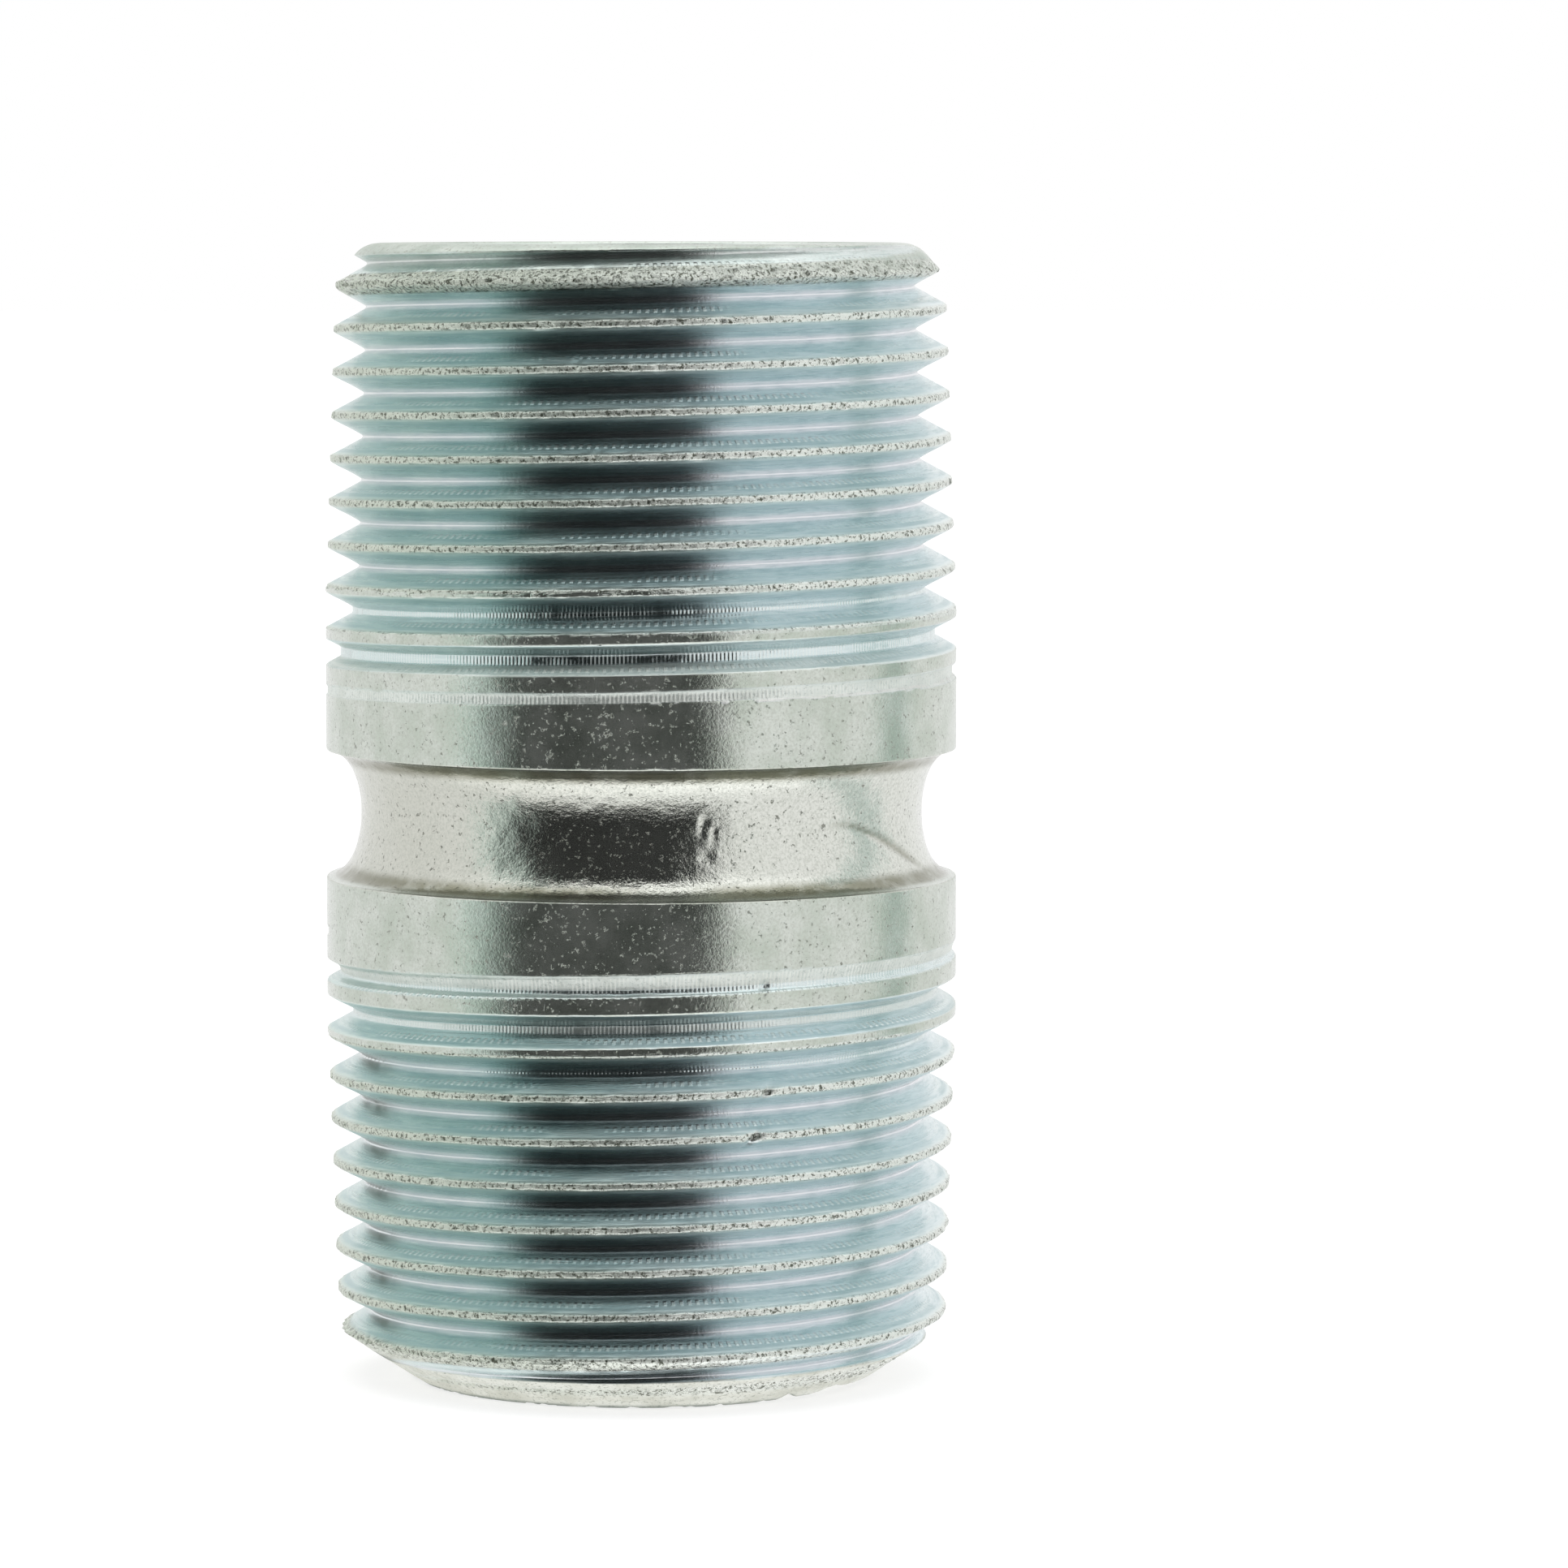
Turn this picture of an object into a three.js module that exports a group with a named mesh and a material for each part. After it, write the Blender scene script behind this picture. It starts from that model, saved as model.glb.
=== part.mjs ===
// Threaded pipe nipple with a waist groove: a zinc-plated steel body, taper threaded at both ends,
// around a thermoplastic bore liner that the rolled waist holds. Millimetres, +Z up along the
// pipe's axis, with the origin at the centre of the lower end face.
import * as THREE from "three";

const MM_PER_INCH = 25.4;

// Steel body
const LENGTH = 48;
const OUTSIDE_DIAMETER = 26.67;
const WALL = 3.91;

// The two right-hand taper threads
const THREADS_PER_INCH = 14;
const TAPER = 1 / 16; // growth of the diameter per unit of length
const CREST_HEIGHT = 0.56; // above the pitch line
const ROOT_DEPTH = 0.71; // below the pitch line
const CREST_FLAT = 0.25;
const ROOT_FLAT = 0.15;
const FULL_THREAD_LENGTH = 14.4;
const RUN_OUT_LENGTH = 4.3; // over which the groove's bottom climbs, turn by turn, to the outside
const LOWER_CREST_START = 1.98; // first crest on the -X side, above the lower end face
const UPPER_CREST_START = 1.79; // first crest on the -X side, below the upper end face

// End bevels, each with its rise from the end face per unit of radius
const LOWER_FACE_WIDTH = 0.3; // flat ring left between the bore and the bevel
const LOWER_BEVEL_SLOPE = 0.64;
const UPPER_BEVEL_WIDTH = 1.84; // from the outside of the pipe in to the flat end face
const UPPER_BEVEL_SLOPE = 1;

// Waist groove at mid length, and the bead that rolling it raises inside the bore
const GROOVE_WIDTH = 5.4;
const GROOVE_DEPTH = 1.45;
const BEAD_WIDTH = 7.6;
const BEAD_HEIGHT = 0.9;
const SHORTEST_LAND = 0.4; // plain pipe kept between a thread and the groove

// Bore liner
const LINER_WALL = 1.1;
const LINER_CLEARANCE = 0.2; // to the bore and to its bead
const LINER_RECESS = 0.5; // of each liner end inside the body's end face

// Mesh steps
const COLUMNS = 36; // around the axis
const GROOVE_STEPS = 8;
const BEAD_STEPS = 8;
const SHORTEST_EDGE = 0.06;

const PITCH = MM_PER_INCH / THREADS_PER_INCH;
// The pipe thread standard's rule for the pitch diameter at the end of the pipe
const PITCH_DIAMETER = OUTSIDE_DIAMETER - ((0.05 * OUTSIDE_DIAMETER) / MM_PER_INCH + 1.1) * PITCH;
const CREST_RADIUS = PITCH_DIAMETER / 2 + CREST_HEIGHT;
const ROOT_RADIUS = PITCH_DIAMETER / 2 - ROOT_DEPTH;
const BODY_RADIUS = OUTSIDE_DIAMETER / 2;
const BORE_RADIUS = BODY_RADIUS - WALL;
const MIDDLE = LENGTH / 2;
const THREAD_LIMIT = MIDDLE - GROOVE_WIDTH / 2 - SHORTEST_LAND;
const THREAD_LENGTH = Math.min(FULL_THREAD_LENGTH + RUN_OUT_LENGTH + PITCH / 2, THREAD_LIMIT);

// One closed surface, with its vertices on COLUMNS half-planes through the axis
class TurnedSurface {
  positions = [];
  faces = [];

  vertex(column, radius, z) {
    const angle = (2 * Math.PI * column) / COLUMNS;
    this.positions.push(radius * Math.cos(angle), radius * Math.sin(angle), z);
    return this.positions.length / 3 - 1;
  }

  // A level ring, whose radius is one number or a function of the column
  ring(radius, z) {
    const radiusAt = typeof radius === "function" ? radius : () => radius;
    return Array.from({ length: COLUMNS }, (_, c) => this.vertex(c, radiusAt(c), z));
  }

  // A face leaves out a corner that falls together with the next one.
  face(...corners) {
    const kept = corners.filter((corner, i) => corner !== corners[(i + 1) % corners.length]);
    for (let i = 2; i < kept.length; i += 1) this.faces.push(kept[0], kept[i - 1], kept[i]);
  }

  // Bands between each ring and the next, with the solid on the left going up
  join(...rings) {
    rings.slice(1).forEach((above, i) => {
      const below = rings[i];
      for (let c = 0; c < COLUMNS; c += 1) {
        const next = (c + 1) % COLUMNS;
        this.face(below[c], below[next], above[next], above[c]);
      }
    });
  }

  geometry() {
    const geometry = new THREE.BufferGeometry();
    geometry.setAttribute("position", new THREE.Float32BufferAttribute(this.positions, 3));
    geometry.setIndex(this.faces);
    geometry.computeVertexNormals();
    return geometry;
  }
}

// Radius of the thread's cut, at distances from the crest's centre line and from the pipe's end.
// The groove's bottom stays level across its width, even where it runs out.
function threadRadius(fromCrest, fromEnd, inward) {
  const flankWidth = (PITCH - CREST_FLAT - ROOT_FLAT) / 2;
  const across = Math.abs(fromCrest - PITCH * Math.round(fromCrest / PITCH));
  const down = THREE.MathUtils.clamp((across - CREST_FLAT / 2) / flankWidth, 0, 1);
  const form = THREE.MathUtils.lerp(CREST_RADIUS, ROOT_RADIUS, down);
  const toGroove = PITCH * (Math.floor(fromCrest / PITCH) + 0.5) - fromCrest;
  return Math.max(form + (fromEnd * TAPER) / 2, runOutRadius(fromEnd + inward * toGroove));
}

function runOutRadius(fromEnd) {
  const start = ROOT_RADIUS + (FULL_THREAD_LENGTH * TAPER) / 2;
  const done = (fromEnd - FULL_THREAD_LENGTH) / RUN_OUT_LENGTH;
  return THREE.MathUtils.lerp(start, BODY_RADIUS, done);
}

// The shape of one threaded end: its crest line and its radius, by column and height
function threadedEnd({ face, inward, faceRadius, bevelSlope, crestStart }) {
  const crestLine = (column) => face + inward * crestStart + PITCH * (column / COLUMNS - 0.5);
  const radiusAt = (column, z) => {
    const fromEnd = inward * (z - face);
    const bevelled = Math.min(faceRadius + fromEnd / bevelSlope, BODY_RADIUS);
    return Math.min(bevelled, threadRadius(z - crestLine(column), fromEnd, inward));
  };
  return { face, inside: face + inward * THREAD_LENGTH, crestLine, radiusAt };
}

const LOWER_END = threadedEnd({
  face: 0,
  inward: 1,
  faceRadius: BORE_RADIUS + LOWER_FACE_WIDTH,
  bevelSlope: LOWER_BEVEL_SLOPE,
  crestStart: LOWER_CREST_START,
});

const UPPER_END = threadedEnd({
  face: LENGTH,
  inward: -1,
  faceRadius: BODY_RADIUS - UPPER_BEVEL_WIDTH,
  bevelSlope: UPPER_BEVEL_SLOPE,
  crestStart: UPPER_CREST_START,
});

// Rows along the helix at the edges of the crest and root flats. They end on two level rings, and
// going once around the axis takes a row to the one a pitch higher.
function addThread(surface, end, lowRing, highRing) {
  const edges = [-CREST_FLAT, CREST_FLAT, PITCH - ROOT_FLAT, PITCH + ROOT_FLAT].map((w) => w / 2);
  const [low, high] = [end.face, end.inside].sort((a, b) => a - b);
  const made = new Map();
  const corner = (row, column) => {
    if (column === COLUMNS) return corner(row + edges.length, 0);
    const turn = Math.floor(row / edges.length);
    const z = end.crestLine(column) + turn * PITCH + edges[row - turn * edges.length];
    if (z < low + SHORTEST_EDGE) return lowRing[column];
    if (z > high - SHORTEST_EDGE) return highRing[column];
    const key = `${row},${column}`;
    if (!made.has(key)) made.set(key, surface.vertex(column, end.radiusAt(column, z), z));
    return made.get(key);
  };
  const firstTurn = Math.floor((low - end.crestLine(0)) / PITCH) - 2;
  const lastTurn = Math.ceil((high - end.crestLine(0)) / PITCH) + 1;
  for (let row = firstTurn * edges.length; row < lastTurn * edges.length; row += 1) {
    for (let c = 0; c < COLUMNS; c += 1) {
      surface.face(corner(row, c), corner(row, c + 1), corner(row + 1, c + 1), corner(row + 1, c));
    }
  }
}

// Half an ellipse, from its lower lip to its upper one
function grooveRings(surface) {
  return Array.from({ length: GROOVE_STEPS + 1 }, (_, step) => {
    const angle = (Math.PI * step) / GROOVE_STEPS;
    const z = MIDDLE - (GROOVE_WIDTH / 2) * Math.cos(angle);
    return surface.ring(BODY_RADIUS - GROOVE_DEPTH * Math.sin(angle), z);
  });
}

function boreRadius(z) {
  const fromMiddle = THREE.MathUtils.clamp((z - MIDDLE) / (BEAD_WIDTH / 2), -1, 1);
  return BORE_RADIUS - (BEAD_HEIGHT * (1 + Math.cos(Math.PI * fromMiddle))) / 2;
}

// Rings that follow the bore and its bead, from one height to another, at an offset from the wall
function boreRings(surface, from, to, offset) {
  const beadHeights = Array.from({ length: BEAD_STEPS + 1 }, (_, step) => {
    return MIDDLE + BEAD_WIDTH * (step / BEAD_STEPS - 0.5);
  });
  const heights = [from, ...(to > from ? beadHeights : beadHeights.reverse()), to];
  return heights.map((z) => surface.ring(boreRadius(z) - offset, z));
}

function nippleBody() {
  const surface = new TurnedSurface();
  const lowerFace = surface.ring(BORE_RADIUS + LOWER_FACE_WIDTH, LOWER_END.face);
  const lowerLand = surface.ring((c) => LOWER_END.radiusAt(c, LOWER_END.inside), LOWER_END.inside);
  const upperLand = surface.ring((c) => UPPER_END.radiusAt(c, UPPER_END.inside), UPPER_END.inside);
  const upperFace = surface.ring(BODY_RADIUS - UPPER_BEVEL_WIDTH, UPPER_END.face);
  addThread(surface, LOWER_END, lowerFace, lowerLand);
  surface.join(lowerLand, ...grooveRings(surface), upperLand);
  addThread(surface, UPPER_END, upperLand, upperFace);
  surface.join(upperFace, ...boreRings(surface, LENGTH, 0, 0), lowerFace);
  return surface.geometry();
}

function boreLiner() {
  const surface = new TurnedSurface();
  const [bottom, top] = [LINER_RECESS, LENGTH - LINER_RECESS];
  const outside = boreRings(surface, bottom, top, LINER_CLEARANCE);
  const inside = boreRings(surface, top, bottom, LINER_CLEARANCE + LINER_WALL);
  surface.join(...outside, ...inside, outside[0]);
  return surface.geometry();
}

const zincPlatedSteel = new THREE.MeshStandardMaterial({
  color: 0xb4c0c2,
  roughness: 0.35,
  metalness: 0.9,
});

const naturalPolypropylene = new THREE.MeshStandardMaterial({
  color: 0xe6e3d8,
  roughness: 0.5,
  metalness: 0,
});

function named(name, geometry, material) {
  const mesh = new THREE.Mesh(geometry, material);
  mesh.name = name;
  return mesh;
}

const nipple = new THREE.Group();
nipple.add(named("nipple_body", nippleBody(), zincPlatedSteel));
nipple.add(named("bore_liner", boreLiner(), naturalPolypropylene));

export default nipple;
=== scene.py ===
"""Zinc-plated steel pipe nipple with a rolled waist groove and a bore liner, in a white studio.

Shapes are worked out in millimetres, and go into Blender in metres.
"""

import math

import bpy
import numpy as np
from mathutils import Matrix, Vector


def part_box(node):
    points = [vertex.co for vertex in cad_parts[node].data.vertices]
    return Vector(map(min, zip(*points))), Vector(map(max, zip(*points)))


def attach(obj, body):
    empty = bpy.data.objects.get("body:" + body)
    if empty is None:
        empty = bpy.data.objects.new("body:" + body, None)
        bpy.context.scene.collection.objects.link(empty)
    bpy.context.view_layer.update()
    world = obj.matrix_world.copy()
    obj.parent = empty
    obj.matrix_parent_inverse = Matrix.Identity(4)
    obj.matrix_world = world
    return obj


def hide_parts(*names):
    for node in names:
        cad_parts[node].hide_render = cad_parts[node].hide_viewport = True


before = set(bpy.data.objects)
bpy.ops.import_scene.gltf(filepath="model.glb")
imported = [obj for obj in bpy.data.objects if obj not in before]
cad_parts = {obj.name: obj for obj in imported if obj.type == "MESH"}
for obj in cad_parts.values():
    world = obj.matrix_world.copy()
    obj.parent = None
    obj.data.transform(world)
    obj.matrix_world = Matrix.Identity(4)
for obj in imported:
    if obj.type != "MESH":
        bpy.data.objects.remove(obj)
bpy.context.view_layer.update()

MM = 0.001
body_low, body_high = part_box("nipple_body")
LENGTH = (body_high.z - body_low.z) / MM
BODY_RADIUS = (body_high.x - body_low.x) / 2 / MM
MIDDLE = LENGTH / 2

# Threads, as in the CAD part, with the small roundings that a die leaves
PITCH = 25.4 / 14
RADIUS_TAPER = 1 / 32  # growth of the radius per unit of length
CREST_RADIUS = 12.85  # at the end face
CREST_TOP, CREST_FOOT = 0.10, 0.13  # half widths of the crest's flat, above and below its middle
FLANK_SLOPE = 1.8  # radius lost per unit across the flank
ROOT_ROUND = 0.10  # half width of the rounded root
EDGE_ROUND = 0.06
LOWER_EDGE_ROUND = 0.10  # crests are rounder along their lower edge
FLAT_ROUND = 0.03  # where a wall meets a flat bottom
LOWER_CREST_START = 1.98
UPPER_CREST_START = 1.79

# How the last grooves run out, at these distances from the pipe's end: the depth of their flat
# bottom below the skin, and how far each wall closes in, towards the end (near) and away (far)
RUN_OUT = [0, 14.4, 16.0, 16.8, 17.4, 17.9, 18.6, 19.2, 19.45]
RUN_OUT_DEPTH = [3.0, 1.36, 1.00, 0.78, 0.56, 0.24, 0.09, 0.065, -0.03]
LOWER_NEAR = [0, 0, 0.20, 0.40, 0.54, 0.62, 0.60, 0.58, 0.58]
LOWER_FAR = [0, 0, 0.10, 0.35, 0.60, 0.45, 1.00, 1.50, 1.60]
UPPER_NEAR = [0, 0, 0.22, 0.33, 0.38, 0.43, 0.49, 0.55, 0.56]
UPPER_FAR = [0, 0, 0.00, 0.20, 0.55, 0.90, 1.34, 1.70, 1.80]
LAST_SLOPE = 0.38  # of the bottom of the lower end's last groove, down towards the near wall
SLOPE_END = 0.05  # from its middle: beyond this, that bottom is level again

# How dull the grooves' shallow ends, their walls, the flat bottoms and the upper rim are
END_WEAR, WALL_WEAR, FLAT_WEAR, RIM_WEAR = 0.6, 0.5, 0.35, 0.5

# Relief of the torn and worn places
CREST_TEARS = ((0.3, 0.035), (1.7, 0.03), (0.55, 0.08))  # spacing along the crest and depth
TEARS_END = (14.2, 15.4)  # from the pipe's end: from full tears to none
CREST_TILT = 0.4
CREST_WANDER = 0.06
FIRST_CREST = (0.55, 0.8, 2.1, 2.5)  # from the pipe's end: where its tearing comes in and goes out
FIRST_CREST_TEARS = 0.20
WALL_JAGS = 0.15  # of the closing walls, as a share of how far they have closed
SKIN_RELIEF = 0.01
GROOVE_DENTS = ((34, 1.3, 12, 0.03), (150, 0.45, 13, 0.02))  # around, tall, seed, depth
CREASE_DEPTH = 0.08
CRACK_DEPTH = 0.03
LIP_CHIPS = 0.04

# Ends, waist groove and bore
LOWER_FACE_RADIUS = 9.6
LOWER_BEVEL = 1.55  # growth of the radius per unit of height
UPPER_FACE_RADIUS = 11.0
UPPER_BEVEL_RADIUS = 11.6  # where the bevel's line meets the end face's plane
UPPER_BEVEL = 0.93
UPPER_CORNER = 1.6  # how full the rounded corner at the top is
BLANK_ROUND = 0.1
END_RINGS = [0.02, 0.05, 0.1, 0.16, 0.24]  # level rings next to each end face
GROOVE_HALF_WIDTH = 2.7
GROOVE_DEPTH = 1.45
LIP_ROUND = 0.06
WALL = 3.91
BORE_RADIUS = BODY_RADIUS - WALL
BEAD_HALF_WIDTH = 3.8
BEAD_HEIGHT = 0.9
BEAD_REACH = 4.0  # of the close rings on each side of the middle
BORE_EDGE = 0.12
LINER_WALL = 1.1
LINER_GAP = 0.03
LINER_RECESS = 0.5
LINER_RIM = 0.3
LINER_SQUARENESS = 0.6  # of the rims: 1 is round, 0 square

# Mesh
COLUMNS = 600
LINER_COLUMNS = 192
ROWS_UP = [0.03, 0.055, 0.08, 0.115, 0.155, 0.20, 0.25, 0.30, 0.345, 0.39, 0.43, 0.465]
ROW_OFFSETS = np.array([-0.50] + [-row for row in ROWS_UP[::-1]] + [0.0] + ROWS_UP)  # in pitches
SHORTEST_EDGE = 0.02
NOISE_CELLS = 4096  # before a ripple repeats
BLOTCH_CELLS = 512  # along the axis
FRONT = 270  # degrees, of the side towards the viewer, counted from +X towards +Y
TURN = 2 * math.pi


# ---------------------------------------------------------------- numbers along curves


def smooth_min(a, b, size):
    """The lesser of two values, rounded where they cross."""
    h = np.clip(0.5 + 0.5 * (b - a) / size, 0, 1)
    return b + (a - b) * h - size * h * (1 - h)


def smooth_max(a, b, size):
    return -smooth_min(-a, -b, size)


def fade(low, high, x):
    """0 at low, 1 at high, smooth between."""
    t = np.clip((x - low) / (high - low), 0, 1)
    return t * t * (3 - 2 * t)


def ripple(along, spacing, seed):
    """Smooth random numbers from 0 to 1 along a line, one every spacing."""
    knots = np.random.default_rng(seed).random(NOISE_CELLS)
    place = np.asarray(along) / spacing
    first = np.floor(place).astype(int)
    t = fade(0, 1, place - first)
    return knots[first % NOISE_CELLS] * (1 - t) + knots[(first + 1) % NOISE_CELLS] * t


def blotch(angle, z, around, tall, seed):
    """Smooth random numbers from 0 to 1 over the tube, in so many cells around and this tall."""
    cells = np.random.default_rng(seed).random((around, BLOTCH_CELLS))
    u, v = np.broadcast_arrays(angle / TURN * around, z / tall)
    i, j = np.floor(u).astype(int), np.floor(v).astype(int)
    s, t = fade(0, 1, u - i), fade(0, 1, v - j)
    column, next_column = i % around, (i + 1) % around
    row, next_row = j % BLOTCH_CELLS, (j + 1) % BLOTCH_CELLS
    low = cells[column, row] * (1 - s) + cells[next_column, row] * s
    high = cells[column, next_row] * (1 - s) + cells[next_column, next_row] * s
    return low * (1 - t) + high * t


def skin_relief(angle, z):
    return SKIN_RELIEF * blotch(angle, z, 90, 0.8, 11)


def right_of(angle, degrees):
    """Degrees to the right of a direction, between -180 and 180."""
    return (np.degrees(angle) - degrees + 180) % 360 - 180


# Knocks on the crests: degrees to the right of the front, height, width, slant, depth
KNOCK_TALL = 0.3
KNOCKS = [
    (22.3, 17.75, 0.11, 0.5, 0.14),
    (22.8, 13.45, 0.11, 0.6, 0.30),
    (20.4, 11.55, 0.12, 0.7, 0.36),
    (-43.3, 46.6, 0.16, -1.0, 0.22),
    (-12.0, 43.1, 0.12, 0.2, 0.15),
    (-8.0, 39.4, 0.12, 0.3, 0.15),
    (140.0, 41.0, 0.15, 0.4, 0.25),
    (-128.0, 12.4, 0.15, -0.4, 0.25),
    (171.0, 7.0, 0.18, 0.8, 0.25),
]


def knocks(angle, z):
    depth = np.zeros(np.broadcast(angle, z).shape)
    for direction, height, width, slant, deepest in KNOCKS:
        sideways = np.radians(right_of(angle, FRONT + direction)) * BODY_RADIUS
        upward = z - height
        near = np.exp(-((sideways - slant * upward) ** 2) / width**2 - upward**2 / KNOCK_TALL**2)
        depth = depth + deepest * near
    return depth


# ---------------------------------------------------------------- the turned surface


class Turned:
    """A closed mesh around the Z axis: rings of vertices, and the faces between them."""

    masks = ("skin", "crest", "root", "chatter", "worn", "waist", "stain", "turn_cos", "turn_sin")

    def __init__(self, columns=COLUMNS):
        self.angles = np.arange(columns) * TURN / columns
        self.parts, self.quads, self.count = [], [], 0

    def points(self, angle, radius, z, **masks):
        """Adds vertices and returns their numbers, in the shape of the arrays given."""
        angle, radius, z = np.broadcast_arrays(angle, radius, z)
        columns = [angle, radius, z]
        columns += [np.broadcast_to(masks.get(m, 0.0), angle.shape) for m in self.masks]
        self.parts.append(np.stack([c.ravel() for c in columns], axis=1))
        first = self.count
        self.count += angle.size
        return np.arange(first, self.count).reshape(angle.shape)

    def ring(self, radius, z, **masks):
        return self.points(self.angles, radius, z, **masks)

    def join(self, *rings):
        """Bands between each ring and the next, with the solid on the left going up."""
        for below, above in zip(rings[:-1], rings[1:]):
            self.faces(below, np.roll(below, -1), np.roll(above, -1), above)

    def faces(self, a, b, c, d):
        self.quads.append(np.stack([x.ravel() for x in (a, b, c, d)], axis=1))

    def helical(self, rows, per_turn):
        """Joins rows of a helix. Going once around takes a row to the one per_turn further."""
        here, nxt = rows[:-per_turn], np.roll(rows, -1, axis=1)[:-per_turn]
        nxt[:, -1] = rows[per_turn:, 0]
        self.faces(here[:-1], nxt[:-1], nxt[1:], here[1:])

    def triangles_and_quads(self):
        """The faces, each without a corner that falls together with its neighbour."""
        quads = np.concatenate(self.quads)
        flat_low, flat_high = quads[:, 0] == quads[:, 3], quads[:, 1] == quads[:, 2]
        faces = quads[~flat_low & ~flat_high].tolist()
        faces += quads[flat_low & ~flat_high][:, :3].tolist()
        faces += quads[~flat_low & flat_high][:, [0, 1, 3]].tolist()
        return faces

    def make(self, name, material, settle=None):
        """The Blender object. settle gives the finished height from the angle and height."""
        v = np.concatenate(self.parts)
        angle, radius, z = v[:, 0], v[:, 1], v[:, 2]
        if settle:
            z = settle(angle, z)
        places = np.stack([radius * np.cos(angle), radius * np.sin(angle), z], axis=1) * MM
        mesh = bpy.data.meshes.new(name)
        mesh.from_pydata(places.tolist(), [], self.triangles_and_quads())
        mesh.shade_smooth()
        for i, mask in enumerate(self.masks):
            layer = mesh.attributes.new(mask, "FLOAT", "POINT")
            layer.data.foreach_set("value", v[:, 3 + i].astype(np.float32))
        mesh.materials.append(material)
        thing = bpy.data.objects.new(name, mesh)
        bpy.context.collection.objects.link(thing)
        return thing


# ---------------------------------------------------------------- threads


def lower_cone(from_end):
    """Radius of the lower end's bevel."""
    return LOWER_FACE_RADIUS + LOWER_BEVEL * from_end


def upper_corner(from_end):
    """Radius of the upper end's bevel, with its well rounded corner."""
    rounded = UPPER_FACE_RADIUS + UPPER_CORNER * np.sqrt(np.maximum(from_end, 0))
    return smooth_min(UPPER_BEVEL_RADIUS + UPPER_BEVEL * from_end, rounded, BLANK_ROUND)


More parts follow.
